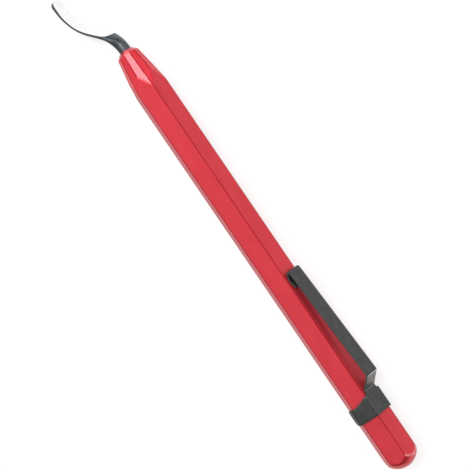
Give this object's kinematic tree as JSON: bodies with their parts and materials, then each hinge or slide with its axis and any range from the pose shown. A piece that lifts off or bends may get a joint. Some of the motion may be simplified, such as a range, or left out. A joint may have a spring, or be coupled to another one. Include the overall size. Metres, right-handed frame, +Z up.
{
  "type": "pipe deburring tool",
  "caption": "Pen-style pipe deburring tool: hexagonal red aluminium handle, free-swivelling S-shaped scraper blade and a spring steel pocket clip.",
  "frame": {"origin": "halfway along and across the tool, at the height of the underside of the clip's band, which the tool lies on", "axes": "+X along the handle from its domed tail to the blade, +Z up from the surface that the tool lies on, the clip's tongue on the flat that faces -Y and up"},
  "size_m": [0.1477, 0.019, 0.0108],
  "materials": {
    "red_anodised_aluminium": "satin red anodised",
    "black_oxide_steel": "black oxide with a bright ground face",
    "dark_spring_steel": "dark satin",
    "bright_steel": "polished"
  },
  "bodies": {
    "handle": {"handle": "red_anodised_aluminium", "thrust_ball": "bright_steel", "retaining_ring": "bright_steel"},
    "blade": {"blade": "black_oxide_steel"},
    "clip": {"pocket_clip": "dark_spring_steel"}
  },
  "joints": [
    {"name": "blade_swivel", "type": "hinge", "parent": "handle", "child": "blade", "pos_m": [0.052, -0.00105, 0.00477], "axis": [1, 0, 0], "continuous": true},
    {"name": "clip_slide", "type": "slide", "parent": "handle", "child": "clip", "axis": [1, 0, 0], "range_m": [-0.0115, 0.055]}
  ]
}
